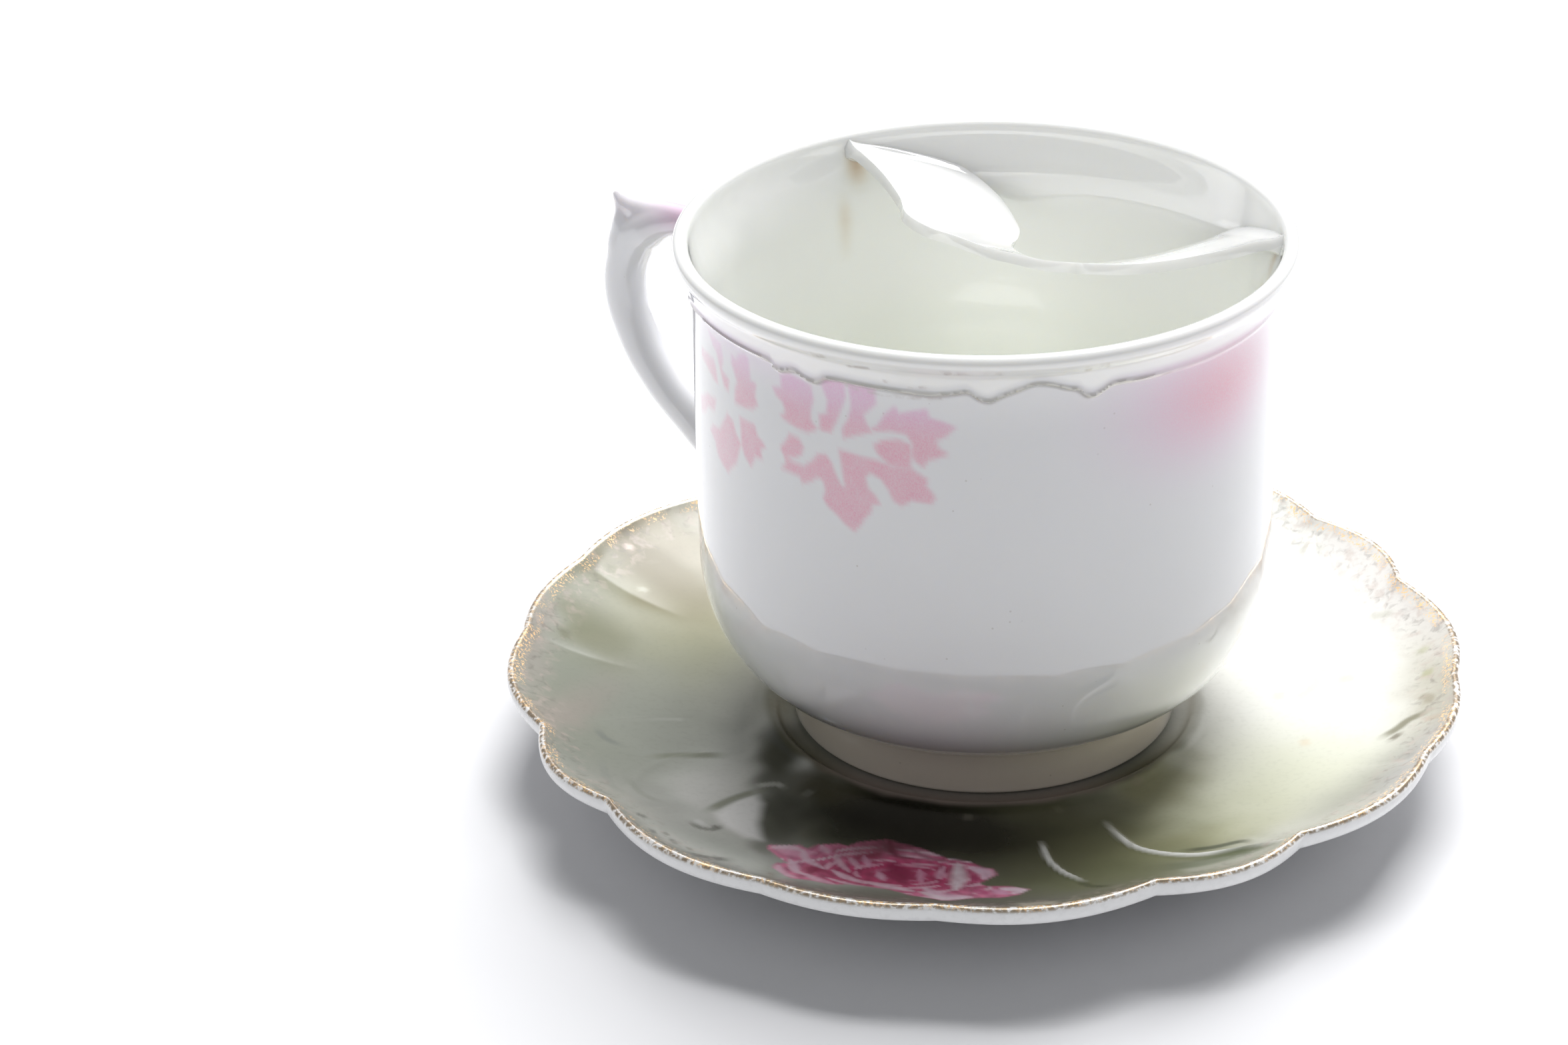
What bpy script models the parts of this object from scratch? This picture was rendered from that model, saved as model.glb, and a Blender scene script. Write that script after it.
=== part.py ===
"""Moustache cup and scalloped saucer in glazed porcelain.

The saucer stands on the ground plane with its foot ring centred on the world origin.
The cup stands in the saucer's well and lifts off along +Z. Lengths are in metres.
"""
import bmesh
import bpy
from math import atan2, cos, degrees, hypot, pi, radians, sin
from mathutils import Vector
from mathutils.geometry import interpolate_bezier

MM = 0.001
OBJECT_NAME = "moustache_cup_and_saucer"

# Driving dimensions, in millimetres.
GAP = 0.3                   # seam left between pieces that touch
CUP_SEAT = 7.5              # underside of the cup's foot above the table
CUP_HEIGHT = 78.6           # foot to the top of the lip
BODY_RADIUS = 43.3          # outside of the straight wall
WALL = 2.2                  # thickness of the straight wall
LIP_RADIUS = 44.75          # centre of the rolled lip
LIP_ROLL = 1.25             # radius of the rolled lip
FLARE_START = 65.5          # height where the wall starts to flare to the lip
BOWL_START = 28.5           # height where the wall turns in to the bowl
FOOT_HEIGHT = 7.1
FOOT_RADIUS = 29.4
FOOT_WALL = 3.6
FLOOR_TOP = 10.0            # inside floor of the cup above the underside of its foot
FLOOR_UNDER = 6.9
TURN_STEPS = 60

RIM_RADIUS = 73.0           # saucer, mean of lobes and notches
OVAL = 1.1                  # how far the outline is pressed out of round
OVAL_TURN = radians(73.0)   # azimuth of its longer axis
RIM_HEIGHT = 16.1           # crest of the saucer's edge above the table
RIM_EDGE = 3.0              # depth of the rounded white edge
WELL_RADIUS = 31.0
WELL_FLOOR = CUP_SEAT - GAP
WELL_RING = 33.4            # raised ring round the cup's foot
DISH_START = 36.0
SAUCER_FOOT_OUT = 36.0
SAUCER_FOOT_IN = 32.4
SAUCER_FOOT_HEIGHT = 3.4
SAUCER_STEPS = 144
PATTERN_TURN = radians(30.0)  # azimuth of one of the four narrow lobes
QUARTER = pi / 2

HANDLE_AZIMUTH = radians(150.0)
GUARD_AZIMUTH = radians(59.5)   # side of the cup that the drinker uses
GUARD_THICKNESS = 1.6

# One quarter of the saucer's outline: lobes from one narrow lobe's notch to the next.
# Start angle, end angle, valley at the start, valley at the end, rise of the lobe.
LOBES = (
    (-10.0, 10.0, -2.0, -2.0, 2.4),
    (10.0, 35.0, -2.0, 0.4, 2.0),
    (35.0, 55.0, 0.4, 0.4, 1.0),
    (55.0, 80.0, 0.4, -2.0, 2.0),
)

# The handle's centre line: distance from the cup's axis, height, half thickness.
HANDLE_PATH = (
    (41.5, 68.1, 3.6),
    (46.5, 68.7, 2.4),
    (54.0, 69.2, 1.8),
    (60.5, 68.5, 2.3),
    (64.2, 64.3, 3.1),
    (65.0, 57.0, 3.45),
    (63.0, 48.0, 3.4),
    (58.6, 40.4, 3.2),
    (52.6, 34.1, 3.1),
    (46.0, 28.5, 3.5),
    (41.0, 24.0, 4.6),
)
SPUR_PATH = ((61.0, 68.1, 2.2), (64.2, 69.1, 1.5), (66.6, 71.4, 0.35))

# Half of the moustache guard, from its middle to the end at the wall. Each row has a point
# of the edge near the cup's axis and one of the edge near the drinker: along the chord,
# across it, and height.
GUARD_KEYS = (
    ((0.0, 9.0, 71.4), (0.0, 16.2, 67.8)),
    ((5.2, 8.6, 71.6), (5.6, 17.6, 68.1)),
    ((9.8, 8.0, 72.5), (8.8, 25.0, 66.3)),
    ((13.6, 6.7, 73.6), (12.6, 31.4, 65.4)),
    ((19.2, 9.2, 73.8), (18.4, 34.6, 68.3)),
    ((24.0, 15.0, 73.5), (24.5, 34.0, 71.1)),
    ((29.6, 19.2, 74.7), (32.0, 30.5, 73.9)),
    ((34.2, 20.7, 76.5), (36.5, 25.8, 75.5)),
    ((38.2, 22.4, 77.0), (38.4, 24.0, 75.6)),
)
GUARD_ROWS = 6
GUARD_COLUMNS_PER_KEY = 3
GUARD_LIP = 0.5             # rounding of the guard's free edge


def clear_scene():
    for obj in list(bpy.data.objects):
        bpy.data.objects.remove(obj, do_unlink=True)


def make_collection(name):
    collection = bpy.data.collections.new(name)
    bpy.context.scene.collection.children.link(collection)
    return collection


def make_material(name, color, roughness):
    material = bpy.data.materials.new(name)
    material.use_nodes = True
    shader = material.node_tree.nodes["Principled BSDF"]
    shader.inputs["Base Color"].default_value = (*color, 1.0)
    shader.inputs["Roughness"].default_value = roughness
    shader.inputs["Coat Weight"].default_value = 1.0
    shader.inputs["Coat Roughness"].default_value = 0.04
    return material


def add_mesh_object(name, bm, collection, parent=None, material=None):
    """Make an object from a bmesh given in millimetres."""
    bmesh.ops.scale(bm, vec=(MM, MM, MM), verts=bm.verts)
    mesh = bpy.data.meshes.new(name)
    bm.to_mesh(mesh)
    bm.free()
    mesh.shade_smooth()
    mesh.set_sharp_from_angle(angle=radians(40.0))
    obj = bpy.data.objects.new(name, mesh)
    collection.objects.link(obj)
    obj.parent = parent
    if material:
        mesh.materials.append(material)
    return obj


def curve_points(start, handle_a, handle_b, end, count):
    """Points of a Bezier arc in the plane of a profile, without its first point."""
    knots = [Vector((r, 0.0, z)) for r, z in (start, handle_a, handle_b, end)]
    return [(p.x, p.z) for p in interpolate_bezier(*knots, count + 1)[1:]]


def arc_points(centre, radius, start, end, count):
    """Points of a circular arc in the plane of a profile; angles in degrees."""
    angles = [radians(start + (end - start) * i / count) for i in range(count + 1)]
    return [(centre[0] + radius * cos(a), centre[1] + radius * sin(a)) for a in angles]


def turned(name, profile, steps, collection, parent=None, material=None):
    """Turn a profile, listed from the axis over the top and down the outside, about Z."""
    bm = bmesh.new()
    verts = [bm.verts.new((r, 0.0, z)) for r, z in profile]
    for a, b in zip(verts, verts[1:]):
        bm.edges.new((a, b))
    obj = add_mesh_object(name, bm, collection, parent, material)
    screw = obj.modifiers.new("turn", "SCREW")
    screw.axis = "Z"
    screw.steps = steps
    screw.render_steps = steps
    screw.use_merge_vertices = True
    screw.merge_threshold = 0.00001
    screw.use_smooth_shade = True
    return obj


def outer_wall(offset):
    """The cup's outside from under the lip to the seam above the foot."""
    body = BODY_RADIUS + offset
    flare = curve_points((45.5 + offset, 76.1), (44.2 + offset, 74.9), (body, 71.0),
                         (body, FLARE_START), 4)
    bowl = curve_points((body, BOWL_START), (body, 19.0), (39.0 + offset, 10.6 - offset),
                        (FOOT_RADIUS + 0.4 + offset, FOOT_HEIGHT), 7)
    return [(45.5 + offset, 76.1)] + flare + [(body, BOWL_START)] + bowl


def inner_wall(offset):
    """The cup's inside from the middle of its floor to under the lip."""
    wall = BODY_RADIUS - WALL - offset
    floor = [(0.0, FLOOR_TOP + offset), (22.0, FLOOR_TOP + 0.4 + offset)]
    bowl = curve_points(floor[-1], (35.5 - offset, 11.4 + offset), (wall, 19.0),
                        (wall, BOWL_START), 6)
    flare = curve_points((wall, FLARE_START), (wall, 70.5), (42.8 - offset, 73.5),
                         (43.45 - offset, 76.9), 4)
    return floor + bowl + [(wall, FLARE_START)] + flare


def make_cup_bowl(collection, parent, material):
    lip = arc_points((LIP_RADIUS, CUP_HEIGHT - LIP_ROLL), LIP_ROLL, 165.0, -30.0, 5)
    under = [(FOOT_RADIUS - FOOT_WALL - 0.6, FOOT_HEIGHT),
             (FOOT_RADIUS - FOOT_WALL - 1.4, FLOOR_UNDER + 0.2),
             (0.0, FLOOR_UNDER)]
    profile = inner_wall(0.0) + lip + outer_wall(0.0) + under
    return turned("cup_bowl", profile, TURN_STEPS, collection, parent, material)


def make_foot_ring(collection, parent, material):
    top = FOOT_HEIGHT - GAP
    inside = FOOT_RADIUS - FOOT_WALL
    edge = 0.6
    profile = [
        (inside, edge), (inside, top), (FOOT_RADIUS, top), (FOOT_RADIUS, edge),
        (FOOT_RADIUS - edge, 0.0), (inside + edge, 0.0), (inside, edge),
    ]
    return turned("foot_ring", profile, TURN_STEPS, collection, parent, material)


def tube_mesh(path):
    """A tapering round bar along (distance from the axis, height, half thickness) points."""
    curve = bpy.data.curves.new("bar", "CURVE")
    curve.dimensions = "3D"
    curve.bevel_depth = 1.0
    curve.bevel_resolution = 3
    curve.resolution_u = 4
    curve.use_fill_caps = True
    spline = curve.splines.new("BEZIER")
    spline.bezier_points.add(len(path) - 1)
    for point, (distance, height, half) in zip(spline.bezier_points, path):
        point.co = (distance, 0.0, height)
        point.radius = half
        point.handle_left_type = "AUTO"
        point.handle_right_type = "AUTO"
    obj = bpy.data.objects.new("bar", curve)
    bpy.context.scene.collection.objects.link(obj)
    graph = bpy.context.evaluated_depsgraph_get()
    mesh = bpy.data.meshes.new_from_object(obj.evaluated_get(graph))
    bpy.data.objects.remove(obj, do_unlink=True)
    bpy.data.curves.remove(curve)
    bm = bmesh.new()
    bm.from_mesh(mesh)
    bmesh.ops.remove_doubles(bm, verts=bm.verts, dist=0.001)
    bpy.data.meshes.remove(mesh)
    return bm


def boolean(obj, cutter, operation):
    modifier = obj.modifiers.new(cutter.name, "BOOLEAN")
    modifier.operation = operation
    modifier.solver = "EXACT"
    modifier.object = cutter
    return modifier


def make_handle(collection, cutters, parent, material, keep_out):
    handle = add_mesh_object("handle", tube_mesh(HANDLE_PATH), collection, parent, material)
    spur = add_mesh_object("thumb_spur_shape", tube_mesh(SPUR_PATH), cutters, parent)
    for obj in (handle, spur):
        obj.rotation_euler.z = HANDLE_AZIMUTH
    boolean(handle, spur, "UNION")
    boolean(handle, keep_out, "DIFFERENCE")
    return handle


def spline_point(keys, position):
    """A Catmull-Rom curve through the keys; position 0 is the first key."""
    index = min(int(position), len(keys) - 2)
    part = position - index
    before = keys[index - 1] if index else mirrored(keys[1])
    after = keys[index + 2] if index + 2 < len(keys) else keys[index + 1]
    a, b = keys[index], keys[index + 1]
    return tuple(
        0.5 * (2 * q + (r - p) * part + (2 * p - 5 * q + 4 * r - s) * part ** 2
               + (3 * q - p - 3 * r + s) * part ** 3)
        for p, q, r, s in zip(before, a, b, after))


def mirrored(key):
    return (-key[0], key[1], key[2])


def guard_point(column, row):
    """A point of the guard's top: column from -1 to 1 along it, row from 0 to 1 across."""
    position = abs(column) * (len(GUARD_KEYS) - 1)
    near = spline_point([key[0] for key in GUARD_KEYS], position)
    far = spline_point([key[1] for key in GUARD_KEYS], position)
    along, across, height = [a + (b - a) * row for a, b in zip(near, far)]
    return Vector((along if column > 0 else -along, across, height))


def make_guard(collection, parent, material, cavity):
    columns = 2 * GUARD_COLUMNS_PER_KEY * (len(GUARD_KEYS) - 1)
    bm = bmesh.new()
    bmesh.ops.create_grid(bm, x_segments=columns, y_segments=GUARD_ROWS, size=1.0)
    for vert in bm.verts:
        vert.co = guard_point(vert.co.x, (vert.co.y + 1.0) / 2.0)
    guard = add_mesh_object("moustache_guard", bm, collection, parent, material)
    guard.rotation_euler.z = GUARD_AZIMUTH - QUARTER
    wall = guard.modifiers.new("thickness", "SOLIDIFY")
    wall.thickness = GUARD_THICKNESS * MM
    wall.offset = -1.0
    rounding = guard.modifiers.new("free_edge", "BEVEL")
    rounding.width = GUARD_LIP * MM
    rounding.segments = 2
    rounding.limit_method = "ANGLE"
    rounding.angle_limit = radians(50.0)
    boolean(guard, cavity, "INTERSECT")
    return guard


def lobe_offset(angle):
    """How far the saucer's edge stands off its mean radius at an angle, in millimetres."""
    turn = degrees((angle - PATTERN_TURN + radians(10.0)) % QUARTER) - 10.0
    for start, end, valley_a, valley_b, rise in LOBES:
        if start <= turn <= end:
            part = (turn - start) / (end - start)
            lobe = valley_a + (valley_b - valley_a) * part + rise * sin(pi * part)
            return lobe + OVAL * cos(2.0 * (angle - OVAL_TURN))
    return LOBES[0][2]


def make_saucer(collection, material):
    """Spin the saucer's section, then push its wall out in lobes and in at the notches."""
    top = curve_points((DISH_START, WELL_FLOOR + 0.6), (52.0, WELL_FLOOR + 0.7),
                       (65.0, 11.0), (RIM_RADIUS - 1.2, RIM_HEIGHT - 0.1), 5)
    edge = arc_points((RIM_RADIUS - 0.9, RIM_HEIGHT - 0.9), 0.9, 80.0, 10.0, 2)
    low = RIM_HEIGHT - RIM_EDGE
    under = curve_points((RIM_RADIUS - 0.9, low), (64.0, 8.2), (53.0, 4.7),
                         (SAUCER_FOOT_OUT + 1.2, SAUCER_FOOT_HEIGHT + 0.5), 4)
    profile = [
        (0.0, WELL_FLOOR), (WELL_RADIUS, WELL_FLOOR), (WELL_RING - 1.1, WELL_FLOOR + 0.8),
        (WELL_RING, WELL_FLOOR + 1.1), (WELL_RING + 1.2, WELL_FLOOR + 0.75),
        (DISH_START, WELL_FLOOR + 0.6),
    ] + top + edge + [(RIM_RADIUS, low + 0.9), (RIM_RADIUS - 0.9, low)] + under + [
        (SAUCER_FOOT_OUT, 0.4), (SAUCER_FOOT_OUT - 0.4, 0.0), (SAUCER_FOOT_IN + 0.4, 0.0),
        (SAUCER_FOOT_IN, 0.4), (SAUCER_FOOT_IN - 0.6, SAUCER_FOOT_HEIGHT),
        (0.0, SAUCER_FOOT_HEIGHT),
    ]
    bm = bmesh.new()
    start = Vector((cos(PATTERN_TURN), sin(PATTERN_TURN), 0.0))
    verts = [bm.verts.new(start * r + Vector((0.0, 0.0, z))) for r, z in profile]
    edges = [bm.edges.new(pair) for pair in zip(verts, verts[1:])]
    bmesh.ops.spin(bm, geom=verts + edges, cent=(0, 0, 0), axis=(0, 0, 1),
                   angle=2 * pi, steps=SAUCER_STEPS, use_merge=False, use_duplicate=False)
    bmesh.ops.remove_doubles(bm, verts=bm.verts, dist=0.01)
    bmesh.ops.recalc_face_normals(bm, faces=bm.faces)
    for vert in bm.verts:
        radius = hypot(vert.co.x, vert.co.y)
        share = max(0.0, (radius - DISH_START) / (RIM_RADIUS - DISH_START)) ** 1.5
        if share > 0.0:
            stretch = 1.0 + lobe_offset(atan2(vert.co.y, vert.co.x)) * share / radius
            vert.co.x *= stretch
            vert.co.y *= stretch
    return add_mesh_object("saucer", bm, collection, None, material)


def make_cutters(cutters, parent):
    """Two solids that follow the cup's wall with a seam's clearance, outside and inside."""
    outside = turned("outside_of_bowl",
                     [(0.0, CUP_HEIGHT + 4.0), (45.5 + GAP, CUP_HEIGHT + 4.0)]
                     + outer_wall(GAP) + [(0.0, FOOT_HEIGHT - 1.0)],
                     TURN_STEPS, cutters, parent)
    cavity_profile = inner_wall(GAP)[::-1]
    cavity = turned("cavity_of_bowl",
                    [(0.0, CUP_HEIGHT), (43.4 - GAP, CUP_HEIGHT)] + cavity_profile,
                    TURN_STEPS, cutters, parent)
    return outside, cavity


def main():
    clear_scene()
    parts = make_collection(OBJECT_NAME)
    cutters = make_collection("cutters")

    cup_glaze = make_material("cup_porcelain", (0.80, 0.81, 0.83), 0.12)
    foot_glaze = make_material("foot_porcelain", (0.74, 0.73, 0.70), 0.15)
    handle_glaze = make_material("handle_porcelain", (0.82, 0.82, 0.85), 0.12)
    guard_glaze = make_material("guard_porcelain", (0.84, 0.84, 0.83), 0.12)
    saucer_glaze = make_material("saucer_porcelain", (0.42, 0.44, 0.34), 0.15)

    make_saucer(parts, saucer_glaze)

    cup_axis = bpy.data.objects.new("cup_lift_axis", None)
    cup_axis.location = (0.0, 0.0, CUP_SEAT * MM)
    parts.objects.link(cup_axis)

    outside, cavity = make_cutters(cutters, cup_axis)
    make_cup_bowl(parts, cup_axis, cup_glaze)
    make_foot_ring(parts, cup_axis, foot_glaze)
    make_handle(parts, cutters, cup_axis, handle_glaze, outside)
    make_guard(parts, cup_axis, guard_glaze, cavity)

    for cutter in cutters.objects:
        cutter.hide_render = True
        cutter.display_type = "WIRE"


main()
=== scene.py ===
import math

import bpy
import numpy as np
from mathutils import Matrix, Vector
from mathutils.geometry import interpolate_bezier


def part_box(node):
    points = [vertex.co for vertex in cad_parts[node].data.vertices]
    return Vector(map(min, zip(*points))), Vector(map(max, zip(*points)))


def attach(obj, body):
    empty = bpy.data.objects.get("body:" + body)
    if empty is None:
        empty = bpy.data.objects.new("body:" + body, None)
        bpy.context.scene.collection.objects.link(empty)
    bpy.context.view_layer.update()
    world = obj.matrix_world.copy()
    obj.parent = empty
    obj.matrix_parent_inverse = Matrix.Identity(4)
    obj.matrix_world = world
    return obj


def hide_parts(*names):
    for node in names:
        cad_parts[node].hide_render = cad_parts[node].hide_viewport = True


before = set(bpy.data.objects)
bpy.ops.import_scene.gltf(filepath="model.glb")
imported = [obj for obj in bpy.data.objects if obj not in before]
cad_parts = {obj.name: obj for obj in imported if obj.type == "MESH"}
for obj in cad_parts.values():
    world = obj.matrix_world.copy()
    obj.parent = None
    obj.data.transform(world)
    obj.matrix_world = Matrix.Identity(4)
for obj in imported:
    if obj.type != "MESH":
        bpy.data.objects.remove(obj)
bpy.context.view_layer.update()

mm = 0.001
turn = 2.0 * math.pi
coreTop = 90.0     # the turned cutters stand clear above the cup
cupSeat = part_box("foot_ring")[0].z / mm     # underside of the cup's foot, above the table


class Wire:
    # one output socket; sums with it add Math nodes
    def __init__(self, tree, socket=None):
        self.tree = tree
        self.socket = socket

    def node(self, kind, settings=None, inputs=None, output=0):
        made = self.tree.nodes.new(kind)
        for name, value in (settings or {}).items():
            if name == "stops":
                ramp = made.color_ramp.elements
                while len(ramp) < len(value):
                    ramp.new(0.5)
                for stop, (place, color) in zip(ramp, value):
                    stop.position = place
                    stop.color = (*color, 1.0)
            else:
                setattr(made, name, value)
        for key, value in (inputs or {}).items():
            if isinstance(value, Wire):
                self.tree.links.new(value.socket, made.inputs[key])
            else:
                made.inputs[key].default_value = value
        return Wire(self.tree, made.outputs[output])

    def math(self, operation, *values):
        return self.node("ShaderNodeMath", {"operation": operation}, dict(enumerate(values)))

    def __add__(self, other):
        return self.math("ADD", self, other)

    def __sub__(self, other):
        return self.math("SUBTRACT", self, other)

    def __rsub__(self, other):
        return self.math("SUBTRACT", other, self)

    def __mul__(self, other):
        return self.math("MULTIPLY", self, other)

    __radd__ = __add__
    __rmul__ = __mul__

    def clamp(self):
        return self.node("ShaderNodeClamp", None, {"Value": self})

    def ramp(self, low, high):
        return self.node("ShaderNodeMapRange", {"interpolation_type": "SMOOTHSTEP"},
                         {"Value": self, "From Min": low, "From Max": high})

    def band(self, low, high, soft):
        return self.ramp(low - soft, low + soft) * self.ramp(high + soft, high - soft)

    def mix(self, first, second):
        # self is the share of the second colour
        return self.node("ShaderNodeMix", {"data_type": "RGBA"},
                         {0: self, 6: self.color(first), 7: self.color(second)}, 2)

    def color(self, value):
        return value if isinstance(value, Wire) else (*value, 1.0)

    def noise(self, scale, detail=2.0, distortion=0.0, rough=0.5):
        # self is the coordinate, in millimetres; scale is the number of grains in a millimetre
        return self.node("ShaderNodeTexNoise", None,
                         {"Vector": self, "Scale": scale, "Detail": detail,
                          "Distortion": distortion, "Roughness": rough})

    def cells(self, scale, randomness=1.0):
        return self.node("ShaderNodeTexVoronoi", None,
                         {"Vector": self, "Scale": scale, "Randomness": randomness})

    def stretch(self, x, y, z):
        return self.node("ShaderNodeVectorMath", {"operation": "MULTIPLY"},
                         {0: self, 1: (x, y, z)})

    def axis(self, name):
        made = self.node("ShaderNodeSeparateXYZ", None, {0: self})
        return Wire(self.tree, made.socket.node.outputs[name])

    def bump(self, height, distance, strength=1.0):
        return self.node("ShaderNodeBump", None,
                         {"Height": height, "Distance": distance, "Strength": strength})

    def painted(self, name):
        return self.node("ShaderNodeAttribute", {"attribute_name": name}, None, 2)

    def paintedColor(self, name):
        return self.node("ShaderNodeAttribute", {"attribute_name": name}, None, 0)


def startMaterial(name):
    # returns the material, its Principled node and the object coordinates in millimetres
    material = bpy.data.materials.new(name)
    material.use_nodes = True
    tree = material.node_tree
    shader = tree.nodes["Principled BSDF"]
    place = Wire(tree).node("ShaderNodeTexCoord", None, None, 3)
    return material, shader, place.stretch(1.0 / mm, 1.0 / mm, 1.0 / mm)


def feed(shader, **inputs):
    for name, value in inputs.items():
        socket = shader.inputs[name.replace("_", " ")]
        if isinstance(value, Wire):
            value.tree.links.new(value.socket, socket)
        else:
            socket.default_value = value


def sweep(start, pullA, pullB, end, count):
    # points of a Bezier arc in the plane of a section, without its first point
    knots = [Vector((r, 0.0, z)) for r, z in (start, pullA, pullB, end)]
    return [(p.x, p.z) for p in interpolate_bezier(*knots, count + 1)[1:]]


def line(start, end, count):
    return [(start[0] + (end[0] - start[0]) * i / count,
             start[1] + (end[1] - start[1]) * i / count) for i in range(1, count + 1)]


def corner(centre, radius, start, end, count):
    angles = [math.radians(start + (end - start) * i / count) for i in range(count + 1)]
    return [(centre[0] + radius * math.cos(a), centre[1] + radius * math.sin(a))
            for a in angles]


def useModifier(piece, kind, **settings):
    bpy.context.view_layer.objects.active = piece
    modifier = piece.modifiers.new(kind.lower(), kind)
    for name, value in settings.items():
        setattr(modifier, name, value)
    bpy.ops.object.modifier_apply(modifier=modifier.name)


def throw(name, section, steps, height=0.0):
    # draws a section point by point from one vertex and turns it about Z
    bpy.ops.object.select_all(action="DESELECT")
    r, z = section[0]
    bpy.ops.mesh.primitive_plane_add(size=mm, location=(0.0, 0.0, 0.0))
    piece = bpy.context.object
    piece.name = name
    bpy.ops.object.mode_set(mode="EDIT")
    bpy.ops.mesh.merge(type="CENTER")
    bpy.ops.transform.translate(value=(r * mm, 0.0, (z + height) * mm))
    for (r0, z0), (r1, z1) in zip(section, section[1:]):
        bpy.ops.mesh.extrude_region_move(
            TRANSFORM_OT_translate={"value": ((r1 - r0) * mm, 0.0, (z1 - z0) * mm)})
    bpy.ops.object.mode_set(mode="OBJECT")
    useModifier(piece, "SCREW", axis="Z", steps=steps, render_steps=steps,
                use_merge_vertices=True, merge_threshold=0.01 * mm)
    bpy.ops.object.mode_set(mode="EDIT")
    bpy.ops.mesh.select_all(action="SELECT")
    bpy.ops.mesh.remove_doubles(threshold=0.004 * mm)
    bpy.ops.mesh.normals_make_consistent(inside=False)
    bpy.ops.object.mode_set(mode="OBJECT")
    return piece


def points(piece):
    spots = np.empty(len(piece.data.vertices) * 3)
    piece.data.vertices.foreach_get("co", spots)
    return spots.reshape(-1, 3) / mm


def reshape(piece, spots):
    piece.data.vertices.foreach_set("co", (spots * mm).ravel())
    piece.data.update()


def alongSection(section, radius, height):
    # for each point, how far along the section it lies
    line2 = np.array(section)
    reach = np.concatenate([[0.0], np.cumsum(np.hypot(*np.diff(line2, axis=0).T))])
    best = np.full(len(radius), 1e9)
    found = np.zeros(len(radius))
    for (r, z), far in zip(line2, reach):
        off = (radius - r) ** 2 + (height - z) ** 2
        near = off < best
        best[near] = off[near]
        found[near] = far
    return found, reach


def paint(piece, name, values):
    layer = piece.data.attributes.new(name, "FLOAT", "POINT")
    layer.data.foreach_set("value", np.asarray(values, np.float32))


def paintColor(piece, name, values):
    layer = piece.data.attributes.new(name, "FLOAT_COLOR", "POINT")
    full = np.ones((len(values), 4), np.float32)
    full[:, :3] = values
    layer.data.foreach_set("color", full.ravel())


def ease(value, low, high):
    part = np.clip((value - low) / (high - low), 0.0, 1.0)
    return part * part * (3.0 - 2.0 * part)


def bell(value, width):
    return np.exp(-(value / width) ** 2)


def blend(colors, tint, share):
    # lays a tint over the colours, more where its share is larger
    colors += (np.array(tint) - colors) * share[:, None]


def outlineReach(x, y, corners):
    # distance to a closed outline, positive inside it
    inside = np.zeros(len(x), bool)
    best = np.full(len(x), 1e9)
    for (ax, ay), (bx, by) in zip(corners, corners[1:] + corners[:1]):
        dx, dy = bx - ax, by - ay
        part = np.clip(((x - ax) * dx + (y - ay) * dy) / (dx * dx + dy * dy), 0.0, 1.0)
        best = np.minimum(best, np.hypot(x - ax - dx * part, y - ay - dy * part))
        if ay != by:
            inside ^= ((ay > y) != (by > y)) & (x < ax + dx * (y - ay) / dy)
    return np.where(inside, best, -best)


def strokeReach(x, y, path):
    # distance to an open stroke, and how far along it the nearest point is, from 0 to 1
    best = np.full(len(x), 1e9)
    share = np.zeros(len(x))
    lengths = [math.dist(a, b) for a, b in zip(path, path[1:])]
    total, gone = sum(lengths), 0.0
    for (ax, ay), (bx, by), size in zip(path, path[1:], lengths):
        dx, dy = bx - ax, by - ay
        part = np.clip(((x - ax) * dx + (y - ay) * dy) / (size * size), 0.0, 1.0)
        off = np.hypot(x - ax - dx * part, y - ay - dy * part)
        near = off < best
        best[near] = off[near]
        share[near] = ((gone + part * size) / total)[near]
        gone += size
    return best, share


def rounded(path, count=6):
    # a smooth line through the points of a stroke
    knots = [path[0]] + list(path) + [path[-1]]
    made = []
    for i in range(1, len(knots) - 2):
        a, b, c, d = (np.array(knots[j]) for j in range(i - 1, i + 3))
        for step in range(count):
            t = step / count
            made.append(tuple(0.5 * (2 * b + (c - a) * t + (2 * a - 5 * b + 4 * c - d) * t * t
                                     + (3 * b - a - 3 * c + d) * t ** 3)))
    return made + [tuple(path[-1])]


def smoothShade(piece, angle=50.0):
    bpy.ops.object.select_all(action="DESELECT")
    piece.select_set(True)
    bpy.context.view_layer.objects.active = piece
    bpy.ops.object.shade_smooth_by_angle(angle=math.radians(angle))


def finishPiece(piece, material, body, node):
    piece.data.materials.clear()
    piece.data.materials.append(material)
    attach(piece, body)
    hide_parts(node)
    print("made", piece.name, len(piece.data.polygons), "faces")


studio = {
    "eye": (0.0, -542.162, 312.949),
    "pitch": 0.469,
    "yaw": -0.056,
    "roll": -0.022,
    "lens": 91.84,
    "sensor": 36.0,
    "floor": (0.70, 0.70, 0.715),
    "floorRadius": 3.0,
    "sky": (0.96, 0.98, 1.0),
    "skyStrength": 0.33,
    # the softbox: place, aim and width in metres, power in watts
    "lampPlace": (0.194, 0.724, 1.30),
    "lampAim": (0.0, 0.0, 0.03),
    "lampWidth": 1.1,
    "lampPower": 44.0,
}


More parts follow.
